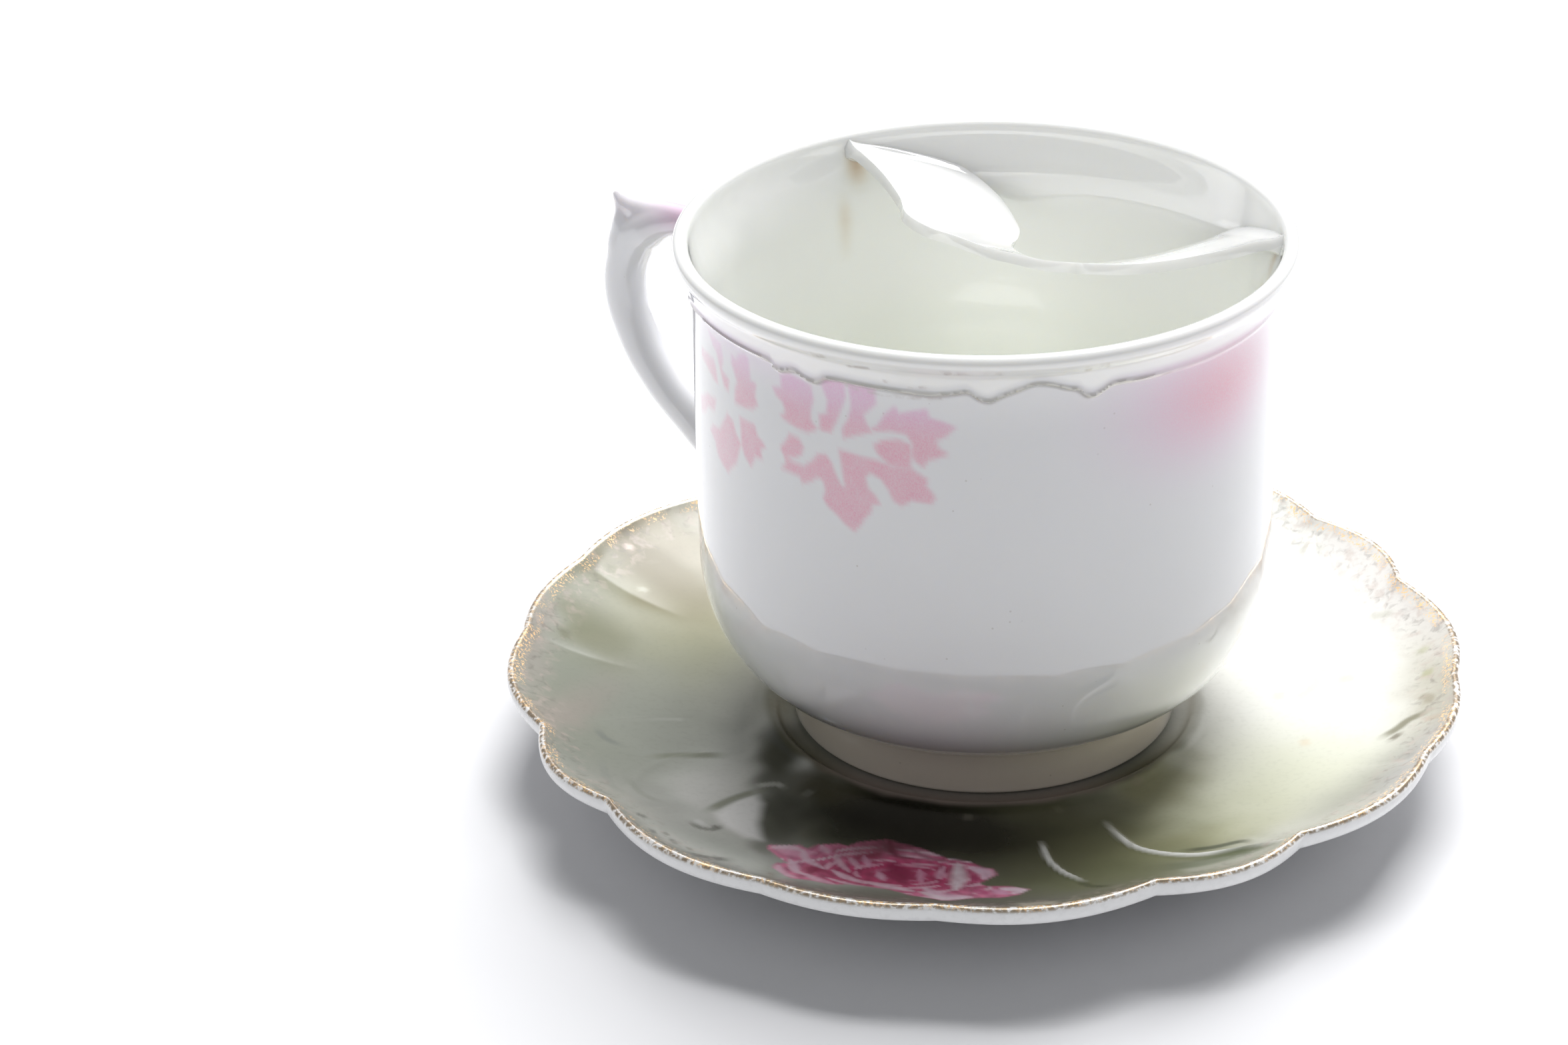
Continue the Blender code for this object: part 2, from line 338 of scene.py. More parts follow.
def setStudio():
    pitch, yaw, roll = studio["pitch"], studio["yaw"], studio["roll"]
    ahead = Vector((math.sin(yaw) * math.cos(pitch), math.cos(yaw) * math.cos(pitch),
                    -math.sin(pitch)))
    side = ahead.cross(Vector((0.0, 0.0, 1.0))).normalized()
    up = side.cross(ahead)
    right = math.cos(roll) * side + math.sin(roll) * up
    above = math.cos(roll) * up - math.sin(roll) * side
    bpy.ops.object.camera_add(location=Vector(studio["eye"]) * mm)
    camera = bpy.context.object
    camera.rotation_euler = Matrix((right, above, -ahead)).transposed().to_euler()
    camera.data.lens = studio["lens"]
    camera.data.sensor_width = studio["sensor"]
    camera.data.clip_start = 0.01
    bpy.context.scene.camera = camera

    bpy.ops.mesh.primitive_circle_add(vertices=64, radius=studio["floorRadius"],
                                      fill_type="NGON")
    floor = bpy.context.object
    floor.name = "floor"
    material, shader, _ = startMaterial("paper")
    feed(shader, Base_Color=(*studio["floor"], 1.0), Roughness=0.9)
    floor.data.materials.append(material)

    world = bpy.data.worlds.new("studio")
    bpy.context.scene.world = world
    world.use_nodes = True
    sky = world.node_tree.nodes["Background"]
    sky.inputs["Color"].default_value = (*studio["sky"], 1.0)
    sky.inputs["Strength"].default_value = studio["skyStrength"]

    bpy.ops.object.light_add(type="AREA", location=studio["lampPlace"])
    lamp = bpy.context.object
    lamp.name = "softbox_above"
    lamp.data.energy = studio["lampPower"]
    lamp.data.shape = "SQUARE"
    lamp.data.size = studio["lampWidth"]
    aim = Vector(studio["lampAim"]) - Vector(studio["lampPlace"])
    lamp.rotation_euler = aim.to_track_quat("-Z", "Y").to_euler()
    bpy.context.scene.view_settings.view_transform = "Standard"
    print("studio is set")


# two ribs of the saucer's relief, which are also painted
longRib = ((18.0, -38.0), (19.8, -43.0), (23.0, -47.8), (29.5, -51.3), (37.5, -52.0), (45.0, -54.2))
shortRib = ((8.5, -44.0), (9.3, -49.5), (11.3, -54.5), (14.3, -58.8))

saucer = {
    "steps": 720,
    "rimRadius": 73.0,
    "rimHeight": 16.1,
    "rimEdge": 3.0,
    "rimRound": 0.9,
    "wellFloor": 7.2,
    "wellRadius": 31.0,
    "ringRadius": 33.4,
    "ringHeight": 1.1,
    "dishStart": 36.0,
    "dishHeight": 0.6,
    "bottom": 3.4,
    "creaseDepth": 0.5,
    "oval": 1.08,
    "ovalTurn": 73.0,
    "patternTurn": 30.0,
    "reliefShares": (1.0, 0.7, 0.5, 0.3),    # crispness of the relief in each quarter
    "front": -95.0,
    "ground": (0.70, 0.70, 0.66),
    # the dark ring in the gap round the cup's foot is painted shade: browner in front, darker at the
    # sides
    "paintedRingShade": (0.27, 0.22, 0.19),
    "ringShade": (0.11, 0.105, 0.06),
    "wellColor": (0.66, 0.66, 0.61),
    "underside": (0.92, 0.92, 0.92),
    "lightFleck": (0.46, 0.38, 0.34),
    "darkFleck": (0.15, 0.13, 0.12),
    "dust": (0.10, 0.10, 0.08),
    "gold": (0.34, 0.25, 0.155),
    # bright specks on and beside the gold line: painted glints of the gilding
    "goldGlint": (0.86, 0.58, 0.32),
    # start angle, end angle, valley at each, rise of the lobe
    "lobes": ((-10.0, 10.0, -2.0, -2.0, 2.37), (10.0, 35.0, -2.0, 0.4, 1.97),
              (35.0, 55.0, 0.4, 0.4, 0.98), (55.0, 80.0, 0.4, -2.0, 1.97)),
    # raised lines of the relief, which stand in all four quarters: height, width, line
    "ribs": ((0.55, 0.55, longRib), (0.45, 0.5, shortRib)),
    # sprayed colours, in turn: colour, x, y, length, width, angle, strength, sharpness
    "sprays": (
        ((0.215, 0.23, 0.18), -60, -10, 22, 46, 0, 0.95, 1.6),
        ((0.34, 0.35, 0.31), -50, -8, 11, 20, 0, 0.6, 1.2),
        ((0.26, 0.26, 0.145), -46, 24, 14, 24, 15, 0.88, 1.3),
        ((0.15, 0.125, 0.07), -54, 38, 12, 21, 36, 0.9, 1.4),
        ((0.20, 0.20, 0.11), -61, 15.5, 6, 11, 10, 0.7, 1.3),
        ((0.20, 0.20, 0.14), -65, 25, 4.5, 17, 18, 0.6, 1.2),
        ((0.31, 0.31, 0.28), -50, -47, 20, 13, -40, 0.8, 1.5),
        ((0.62, 0.61, 0.58), -40, -31, 7, 7, 0, 0.65, 1.2),
        ((0.30, 0.32, 0.28), -38, -55, 14, 7, -18, 0.7, 1.5),
        ((0.56, 0.57, 0.42), 36, -36, 24, 13, 35, 0.9, 1.2),
        ((0.62, 0.63, 0.50), 45, -22, 14, 12, -30, 0.6, 1),
        ((0.34, 0.34, 0.28), 58, -38, 9, 25, -38, 0.9, 1.5),
        ((0.40, 0.38, 0.31), 69, -12, 6.5, 26, 0, 0.85, 1.2),
        ((0.36, 0.35, 0.37), 64, -32, 5, 18, -30, 0.5, 1.3),
        ((0.46, 0.46, 0.27), 31, -47, 12, 5, 30, 0.7, 1.2),
        ((0.24, 0.24, 0.13), 20, -46, 14, 17, 0, 0.9, 1.3),
        ((0.28, 0.28, 0.15), 24, -49, 12, 6, 10, 0.7, 1.2),
        ((0.25, 0.24, 0.12), 25, -26, 7, 11, -25, 0.9, 1.3),
        ((0.14, 0.15, 0.075), 12, -59, 32, 10, 6, 0.93, 1.8),
        ((0.085, 0.085, 0.045), -6, -39, 29, 20, 0, 0.98, 3.5),
        ((0.13, 0.13, 0.06), 12, -44, 9, 13, 0, 0.4, 1.5),
        ((0.05, 0.05, 0.03), -30.5, -39, 3.2, 12, 0, 0.85, 2),
        ((0.007, 0.007, 0.004), -13, -37, 16.5, 10, -10, 0.97, 1.8),
        ((0.012, 0.012, 0.006), -3, -43, 12, 6.5, 0, 0.9, 1.6),
        ((0.03, 0.03, 0.012), -30.5, -18, 4.2, 11, -6, 0.96, 2),
        ((0.05, 0.045, 0.02), -24, -28, 6, 5, -35, 0.9, 1.6),
        ((0.40, 0.38, 0.28), -31.5, -3, 3, 5, 0, 0.8, 1.4),
        ((0.14, 0.135, 0.105), -14, -69, 42, 7, 0, 0.9, 2),
        ((0.09, 0.09, 0.075), -41, -61, 14, 4, -28, 0.85, 1.6),
        ((0.20, 0.185, 0.125), 24, -67, 17, 5, 22, 0.8, 1.6),
        ((0.34, 0.29, 0.26), -68, -25, 4, 24, -22, 0.7, 1.4),
        ((0.33, 0.30, 0.27), -71, 6, 3.5, 20, 4, 0.7, 1.4),
        ((0.36, 0.33, 0.26), -56, 47, 4, 14, 48, 0.7, 1.4),
        ((0.15, 0.145, 0.12), -51, -54, 15, 3.6, -43, 0.7, 1.6),
        ((0.60, 0.56, 0.55), 64, 26, 6, 26, 22, 0.5, 1.4),
    ),
    # patches with a drawn outline: colour, softness, strength, outline
    "patches": (
        ((0.80, 0.79, 0.77), 1.2, 0.9, ((-36.5, -33), (-34, -30.5), (-32.6, -34), (-33, -40),
                                        (-32, -46.5), (-34.5, -46.2), (-38, -42.5),
                                        (-39.3, -39))),
        ((0.17, 0.18, 0.11), 1.8, 0.4, ((-64.5, 12), (-58.8, 13), (-60.5, 18), (-62.5, 20.5))),
        ((0.50, 0.46, 0.38), 0.8, 0.85, ((5, -68.5), (10, -68.5), (10.5, -73), (5.5, -73.4))),
        ((0.35, 0.33, 0.27), 0.6, 0.6, ((-30.5, -59.5), (-29.3, -59.5), (-29.6, -64.5),
                                        (-30.2, -64.5))),
        ((0.40, 0.40, 0.37), 1.2, 0.6, ((-48, -50), (-43.5, -50.5), (-36, -55.5), (-38.5, -57.5),
                                        (-46, -55.5))),
        ((0.40, 0.40, 0.33), 1, 0.6, ((28, -56.8), (36, -55.6), (42, -54), (39, -57.8),
                                        (29, -59.6))),
    ),
    # brush strokes: colour, half width, strength, line
    "strokes": (
        # pale lines along the crests of the two ribs, in the front-right quarter only: partly the
        # ground thinned on the crests, partly painted highlight
        ((0.80, 0.80, 0.76), 0.55, 1, longRib),
        ((0.74, 0.74, 0.70), 0.5, 1, shortRib),
        ((0.06, 0.07, 0.03), 0.75, 0.9, ((28.5, -48.8), (33, -48.8), (37, -48.2), (38.4, -49.4))),
        ((0.10, 0.12, 0.055), 1.9, 0.85, ((24.5, -55.5), (30, -55), (35, -53.6), (41, -52.6))),
        ((0.07, 0.08, 0.04), 0.7, 0.7, ((13.5, -58.6), (15.5, -61.5), (18, -62.3))),
        ((0.19, 0.20, 0.14), 0.9, 0.8, ((-40.5, -38.5), (-38.3, -35), (-36, -32.2), (-32.6, -29.4))),
        ((0.55, 0.55, 0.50), 0.7, 0.7, ((-34, -28.5), (-31, -27.6), (-29.6, -28.6))),
        ((0.10, 0.10, 0.09), 0.65, 0.9, ((-50.3, -46), (-48.6, -46.4))),
        ((0.17, 0.17, 0.15), 0.6, 0.9, ((-42.8, -43.6), (-41, -45), (-39, -44.6), (-38.2, -42.8))),
        ((0.13, 0.13, 0.11), 0.5, 0.8, ((-39.4, -43.4), (-38.2, -44))),
        ((0.60, 0.60, 0.58), 0.6, 0.7, ((-42, -42.2), (-40.4, -43.6))),
        ((0.13, 0.13, 0.12), 0.5, 0.9, ((-47.6, -51), (-47, -52.8))),
        ((0.13, 0.13, 0.12), 0.5, 0.9, ((-44.6, -52.6), (-43.9, -54.8))),
        ((0.15, 0.15, 0.13), 0.45, 0.9, ((-42, -54.6), (-41.5, -56))),
        ((0.16, 0.16, 0.14), 0.45, 0.8, ((-50, -50.8), (-49.4, -52.6))),
        ((0.15, 0.15, 0.13), 0.45, 0.8, ((-45.9, -50.4), (-45.2, -51.4))),
        ((0.05, 0.05, 0.04), 1, 0.9, ((-42, -58), (-39, -57.8), (-36, -56.3))),
        ((0.20, 0.21, 0.19), 0.7, 0.7, ((-58.5, -17), (-57.2, -19.3), (-54.6, -20.6))),
        ((0.20, 0.21, 0.15), 0.9, 0.7, ((-50, -22.6), (-45.5, -20.6), (-39, -19.4))),
        ((0.26, 0.27, 0.24), 0.7, 0.5, ((-57, -27), (-55, -35), (-52, -38.5))),
        ((0.25, 0.26, 0.22), 0.7, 0.5, ((-53, -31), (-50, -36.5), (-47, -38))),
        ((0.24, 0.25, 0.22), 0.6, 0.6, ((-57, -37.5), (-56, -41))),
        ((0.22, 0.22, 0.16), 0.9, 0.6, ((-64.8, 25.5), (-62.4, 24))),
        ((0.16, 0.16, 0.09), 0.9, 0.6, ((-60.6, 32), (-60, 30))),
        ((0.18, 0.18, 0.12), 0.8, 0.6, ((-66.5, 11), (-65.5, 8.6))),
        ((0.62, 0.50, 0.45), 0.9, 0.8, ((-58.3, 38.3), (-57.8, 37))),
        ((0.44, 0.44, 0.36), 0.9, 0.6, ((-55.2, 29), (-55, 27.6))),
        ((0.17, 0.16, 0.10), 0.9, 0.8, ((59.6, -18.6), (62, -17), (64, -15.2), (67, -14.6))),
        ((0.16, 0.14, 0.10), 0.7, 0.8, ((60.8, -20.4), (62.4, -18.8))),
        ((0.44, 0.36, 0.28), 0.8, 0.6, ((66, -17), (68.5, -18))),
        ((0.30, 0.27, 0.20), 0.9, 0.7, ((66, -8.6), (67.4, -10.6), (66.6, -12.2))),
        ((0.36, 0.36, 0.22), 0.9, 0.7, ((68.2, -1.4), (67.6, -3.6))),
        ((0.40, 0.40, 0.27), 0.9, 0.6, ((67.2, 4.4), (68.8, 5.4))),
        ((0.45, 0.45, 0.38), 0.8, 0.5, ((60.8, 18.4), (64.5, 17.4))),
        ((0.66, 0.54, 0.38), 1.6, 0.5, ((56, 4), (56, 1))),
        ((0.68, 0.57, 0.42), 1.1, 0.4, ((45.8, 1), (45.4, -1.6))),
        ((0.62, 0.52, 0.38), 0.8, 0.5, ((48.4, -14.6), (48.6, -17))),
        ((0.50, 0.50, 0.44), 0.9, 0.5, ((47, -3), (51, 1.5), (54, 9), (58.5, 13.5))),
        ((0.52, 0.52, 0.46), 0.8, 0.5, ((51, 39.4), (53, 40.4), (55.2, 38.6))),
        ((0.30, 0.27, 0.18), 0.8, 0.7, ((22.4, -27.4), (23.6, -25))),
        ((0.20, 0.20, 0.17), 0.8, 0.6, ((-26.6, -31), (-25.4, -29))),
        ((0.18, 0.17, 0.13), 0.9, 0.6, ((-3, -36.4), (-1.4, -36.6))),
        ((0.17, 0.16, 0.10), 0.9, 0.6, ((10.4, -34.4), (11.8, -33.8))),
    ),
}


rose = {
    "outline": ((-31, -48), (-26.5, -47), (-25.3, -48.3), (-24, -46.5), (-21, -45.8),
                (-19.5, -46.3), (-18, -44.8), (-14, -43.6), (-9, -46.2), (-5, -49.5),
                (-2, -50.3), (0, -52.3), (1.6, -53), (2, -55), (0.5, -57),
                (-0.5, -58.5), (0.5, -59.5), (4, -59.6), (6.6, -61), (5, -63.5),
                (2.5, -65), (-1, -65.2), (-4.5, -66.7), (-7, -66), (-10.5, -64.8),
                (-11.5, -63.5), (-13.5, -62.2), (-16.5, -61.5), (-19, -61.2),
                (-21.7, -62.2), (-24, -61.3), (-27, -61.2), (-28.3, -59.5),
                (-30, -57), (-29.5, -54.8), (-28, -54.3), (-29.5, -52),
                (-31, -49.5)),
    "centre": (-12, -56),
    "reach": (22, 14),
    "spread": (19, 10),
    "ringSpread": (18, 9),
    "heart": (0.55, 0.06, 0.17),
    "rim": (0.80, 0.32, 0.48),
    # size, number of petals, colour
    "rings": ((0.22, 4, (0.74, 0.24, 0.38)), (0.40, 6, (0.84, 0.42, 0.56)),
              (0.58, 8, (0.88, 0.52, 0.65)), (0.78, 10, (0.90, 0.60, 0.72)),
              (0.95, 12, (0.92, 0.70, 0.80))),
    # far petals in the shade of the cup
    "dusk": (0.22, 0.03, 0.07),
    # petals: colour, half width, line
    "petals": (
        ((0.34, 0.02, 0.09), 2.4, ((-11.5, -58.5), (-12, -55), (-13, -52.5))),
        ((0.36, 0.025, 0.10), 1.6, ((-24.5, -57), (-23.5, -54.5))),
        ((0.36, 0.03, 0.10), 1.4, ((-18.5, -51.5), (-15, -48.5))),
        ((0.85, 0.42, 0.58), 1.5, ((-29.8, -49.2), (-27, -50), (-24.5, -49.3))),
        ((0.90, 0.66, 0.76), 1, ((-30.3, -48.8), (-28, -48), (-26, -49))),
        ((0.90, 0.62, 0.74), 0.75, ((-26, -48.8), (-25.3, -52), (-22.8, -55))),
        ((0.90, 0.62, 0.74), 0.8, ((-27.7, -52.6), (-27, -55), (-26.3, -57.2))),
        ((0.88, 0.55, 0.68), 0.9, ((-29.2, -55.6), (-28.6, -58.5), (-26.6, -60.4))),
        ((0.86, 0.52, 0.66), 0.8, ((-23.4, -46.8), (-22.2, -49.4))),
        ((0.86, 0.55, 0.67), 0.65, ((-21.2, -49.2), (-20.5, -52.6), (-19, -55.8))),
        ((0.84, 0.50, 0.63), 0.6, ((-19.2, -50.2), (-17.6, -54.2))),
        ((0.80, 0.40, 0.56), 0.6, ((-17.2, -49.4), (-16.2, -53.2))),
        ((0.90, 0.60, 0.72), 0.8, ((-21.4, -55.6), (-19.4, -58), (-16.8, -60))),
        ((0.88, 0.52, 0.66), 0.9, ((-25.2, -58.2), (-23.4, -60.4), (-21.2, -61.6))),
        ((0.90, 0.66, 0.76), 0.9, ((-16.6, -59.6), (-13.2, -61), (-9.8, -62.6))),
        ((0.86, 0.48, 0.63), 0.7, ((-14.8, -55.2), (-14.2, -58.2))),
        ((0.80, 0.36, 0.52), 0.6, ((-9, -53.6), (-8.8, -58.4))),
        ((0.84, 0.46, 0.61), 0.6, ((-5.6, -52.4), (-6.6, -56.6))),
        ((0.94, 0.80, 0.86), 1.3, ((-3.6, -51.4), (-3.4, -56), (-3.8, -61))),
        ((0.90, 0.62, 0.76), 1.5, ((-8, -61.2), (-5.6, -64.2), (-2, -64.6))),
        ((0.92, 0.74, 0.82), 1, ((-8.6, -63), (-5, -65.6), (-2, -64.9))),
        ((0.92, 0.66, 0.80), 1.3, ((-1.6, -52.6), (0.4, -54.2), (0.2, -56.4))),
        ((0.48, 0.06, 0.17), 0.6, ((-1.4, -55.6), (-0.9, -57.4))),
        ((0.66, 0.12, 0.28), 1.3, ((-0.9, -61.4), (0.6, -62.8))),
        ((0.86, 0.44, 0.64), 1.2, ((1.6, -61.2), (3.2, -63))),
        ((0.93, 0.76, 0.86), 1.1, ((2.6, -60.6), (5.4, -61.4), (4.2, -62.8))),
        ((0.26, 0.04, 0.09), 0.7, ((-13.6, -43.8), (-12.8, -48.4), (-9.8, -50))),
        ((0.45, 0.20, 0.26), 0.5, ((-14.4, -44.2), (-14, -47.6))),
        ((0.42, 0.17, 0.24), 0.5, ((-10.2, -46.8), (-7.8, -49.4), (-5.2, -50.4))),
    ),
}


def saucerSection():
    rim, top, well = saucer["rimRadius"], saucer["rimHeight"], saucer["wellFloor"]
    wellRadius, ring, dish = saucer["wellRadius"], saucer["ringRadius"], saucer["dishStart"]
    low, bottom = top - saucer["rimEdge"], saucer["bottom"]
    ringTop, dishLow = well + saucer["ringHeight"], well + saucer["dishHeight"]
    section = [(0.0, well)] + line((0.0, well), (wellRadius, well), 5)
    section += sweep((wellRadius, well), (32.2, well), (32.2, ringTop), (ring, ringTop), 6)
    section += sweep((ring, ringTop), (34.6, ringTop), (34.8, dishLow), (dish, dishLow), 6)
    section += sweep((dish, dishLow), (52.0, well + 0.7), (65.0, 11.0), (rim - 1.2, top - 0.14), 76)
    edge = corner((rim - 0.92, top - 0.92), saucer["rimRound"], 82.0, 0.0, 5)
    section += edge
    crest = len(section) - 5
    section += sweep(edge[-1], (rim - 0.02, low + 1.0), (rim - 0.3, low + 0.15),
                     (rim - 1.6, low - 0.25), 6)
    section += sweep((rim - 1.6, low - 0.25), (63.5, 8.4), (53.0, 4.9), (37.4, 4.1), 9)
    # the foot ring, then the underside of the well
    section += [(36.5, 3.3), (36.0, 0.5)] + corner((35.5, 0.5), 0.5, -30.0, -90.0, 2)
    section += corner((32.9, 0.5), 0.5, 270.0, 180.0, 3) + [(32.2, 2.9), (31.2, bottom)]
    section += line((31.2, bottom), (0.0, bottom), 4)
    return section, crest


def lobes(degrees):
    # how far the edge stands out, and how near the middle of a lobe it is, from 0 to 1
    step = (degrees - saucer["patternTurn"] + 10.0) % 90.0 - 10.0
    offset, crest = np.zeros_like(step), np.zeros_like(step)
    for start, end, valleyA, valleyB, rise in saucer["lobes"]:
        part = np.clip((step - start) / (end - start), 0.0, 1.0)
        within = (step >= start) & (step <= end)
        swell = np.sin(np.pi * part)
        offset = np.where(within, valleyA + (valleyB - valleyA) * part + rise * swell, offset)
        crest = np.where(within, swell, crest)
    oval = saucer["oval"] * np.cos(2.0 * np.radians(degrees - saucer["ovalTurn"]))
    return offset + oval, crest


def quarterTurns(path):
    for quarter in range(4):
        a = quarter * turn / 4.0
        yield [(x * math.cos(a) - y * math.sin(a), x * math.sin(a) + y * math.cos(a))
               for x, y in path]


def paintRose(x, y, ground):
    (cx, cy), (reachX, reachY) = rose["centre"], rose["reach"]
    (spreadX, spreadY), (ringX, ringY) = rose["spread"], rose["ringSpread"]
    near = np.nonzero((np.abs(x - cx) < reachX) & (np.abs(y - cy) < reachY))[0]
    x, y = x[near], y[near]
    inside = outlineReach(x, y, list(rose["outline"]))
    fleck = np.sin(2.1 * x + 1.4 * np.sin(1.1 * y)) * np.sin(1.3 * y + 1.2 * np.sin(1.7 * x))
    far = np.hypot((x - cx) / spreadX, (y - cy) / spreadY)
    outer = ease(far, 0.35, 1.0)[:, None] * 0.6
    color = np.array(rose["heart"]) * (1.0 - outer) + np.array(rose["rim"]) * outer
    color *= 1.0 + 0.25 * fleck[:, None]
    # rings of petal edges round the heart, then the drawn petals
    petals = []
    for ring, (size, count, tint) in enumerate(rose["rings"]):
        for i in range(count):
            start = turn * (i / count + 0.13 * ring)
            arc = [(start + 0.8 * turn / count * step, size * (1.0 + 0.16 * math.sin(2.3 * i + step)))
                   for step in (0.0, 0.35, 0.7, 1.0)]
            path = [(cx + ringX * r * math.cos(a), cy + ringY * r * math.sin(a)) for a, r in arc]
            petals.append((tint, 0.42 + 0.12 * math.sin(1.7 * i), path))
    petals += rose["petals"]
    for tint, width, path in petals:
        off, part = strokeReach(x, y, rounded(path))
        width = width * (0.45 + 0.75 * np.sin(np.pi * part))
        share = ease(1.3 * width - off, 0.0, 1.1 * width) * (0.85 + 0.15 * fleck)
        blend(color, tint, share)
    # the far petals, darker towards the foot of the cup
    shade = bell(x + 12.5, 8.0) * ease(y - 0.35 * (x + 12.5), -50.5, -45.5)
    blend(color, rose["dusk"], 0.75 * shade)
    share = ease(inside, -0.3, 0.3) * (1.0 - 0.35 * shade)
    ground[near] += (color - ground[near]) * share[:, None]


def sprayGround(x, y, degrees):
    # the colours over the dish: sprayed ground, painted shade round the foot, well, patches, strokes,
    # rose
    ground = np.tile(saucer["ground"], (len(x), 1))
    wander = 1.2 * np.sin(0.55 * x + 1.3 * np.sin(0.37 * y)) \
        + 0.9 * np.sin(0.83 * y + 1.1 * np.sin(0.61 * x))
    for color, cx, cy, long, wide, angle, strength, sharp in saucer["sprays"]:
        a = math.radians(angle)
        dx, dy = x - cx + 0.5 * wander, y - cy + 0.4 * wander
        u = dx * math.cos(a) + dy * math.sin(a)
        v = dy * math.cos(a) - dx * math.sin(a)
        share = strength * np.exp(-((u / long) ** 2 + (v / wide) ** 2) ** sharp)
        blend(ground, color, share)
    # painted shade: a dark ring in the gap between the cup's foot and the raised ring, weaker round
    # the back
    ring = np.hypot(x, y) + 0.2 * wander
    aside = np.abs(degrees - saucer["front"])
    side = ease(aside, 25.0, 55.0)[:, None]
    paintedRingShade = np.array(saucer["paintedRingShade"]) * (1.0 - side) + np.array(saucer["ringShade"]) * side
    blend(ground, paintedRingShade, ease(-ring, -34.6, -33.0) * (1.0 - 0.75 * ease(aside, 50.0, 80.0)))
    blend(ground, saucer["wellColor"], ease(-ring, -30.2, -28.4))
    for color, soft, strength, corners in saucer["patches"]:
        blend(ground, color, strength * ease(outlineReach(x, y, list(corners)), -soft, soft))
    for color, width, strength, path in saucer["strokes"]:
        off, part = strokeReach(x, y, rounded(path))
        ends = ease(part, -0.1, 0.25) * ease(1.0 - part, -0.1, 0.25)
        blend(ground, color, strength * ease(1.4 * width - off, 0.0, width) * ends)
    paintRose(x, y, ground)
    return ground


def makeSaucer():
    section, crest = saucerSection()
    piece = throw("saucer_porcelain", section, saucer["steps"])
    spots = points(piece)
    radius = np.hypot(spots[:, 0], spots[:, 1])
    degrees = np.degrees(np.arctan2(spots[:, 1], spots[:, 0]))
    along, reach = alongSection(section, radius, spots[:, 2])
    inward = reach[crest] - along          # from the crest of the edge over the dish
    top = ease(inward, -0.2, 0.6)

    start, rim = saucer["dishStart"], saucer["rimRadius"]
    share = np.clip((radius - start) / (rim - start), 0.0, None) ** 1.5
    offset, crown = lobes(degrees)
    crease = (1.0 - crown) ** 3 * ease(radius, 50.0, 72.0)
    stretch = 1.0 + offset * share / np.maximum(radius, 1.0)
    spots[:, 0] *= stretch
    spots[:, 1] *= stretch
    x, y = spots[:, 0], spots[:, 1]

    lift = -saucer["creaseDepth"] * crease * top * ease(inward, 0.0, 3.0)
    for height, width, path in saucer["ribs"]:
        for share, quarter in zip(saucer["reliefShares"], quarterTurns(rounded(path))):
            off, part = strokeReach(x, y, quarter)
            ends = ease(part, 0.0, 0.15) * ease(1.0 - part, 0.0, 0.15)
            lift += share * height * bell(off, width) * ends * top
    spots[:, 2] += lift
    reshape(piece, spots)
    paintColor(piece, "ground", sprayGround(x, y, degrees))
    paint(piece, "inward", inward)
    smoothShade(piece)
    finishPiece(piece, saucerGlaze(), "saucer", "saucer")


def saucerGlaze():
    material, shader, place = startMaterial("saucer_glaze_paint")
    inward = place.painted("inward")
    dish = inward.ramp(0.3, 0.9)
    grain = place.noise(1.1, 4.0)
    cloud = place.noise(0.22, 3.0)
    color = dish.mix(saucer["underside"], place.paintedColor("ground"))
    # the sponged border, lighter and darker flecks over the ground
    border = (inward + (cloud - 0.5) * 5.0).ramp(9.5, 5.0) * dish
    light = (place.noise(0.45, 5.0, 0.4).ramp(0.48, 0.70) * border * 0.45).clamp()
    color = light.mix(color, saucer["lightFleck"])
    dark = (place.noise(0.6, 5.0, 0.6).ramp(0.50, 0.76) * border * 0.45).clamp()
    color = dark.mix(color, saucer["darkFleck"])
    color = ((grain - 0.5) * 0.3).clamp().mix(color, saucer["dust"])
    worn = place.noise(1.4, 4.0).ramp(0.38, 0.56)
    gold = (inward.band(-0.55, 0.75, 0.25) * (worn * 0.8 + 0.2)).clamp()
    # painted glints: bright gold specks scattered along the rim
    goldGlint = (place.noise(2.6, 3.0).ramp(0.52, 0.60) * inward.band(-0.4, 2.4, 0.5)
               * place.noise(0.2, 2.0).ramp(0.40, 0.55)).clamp()
    color = (gold * 0.9).mix(color, saucer["gold"])
    color = goldGlint.mix(color, saucer["goldGlint"])
    feed(shader, Base_Color=color, Roughness=0.24 + gold * 0.06, Metallic=gold * 0.7,
         Normal=place.bump(place.noise(0.35, 2.0), 0.004 * mm, 0.3), Specular_IOR_Level=0.3)
    return material


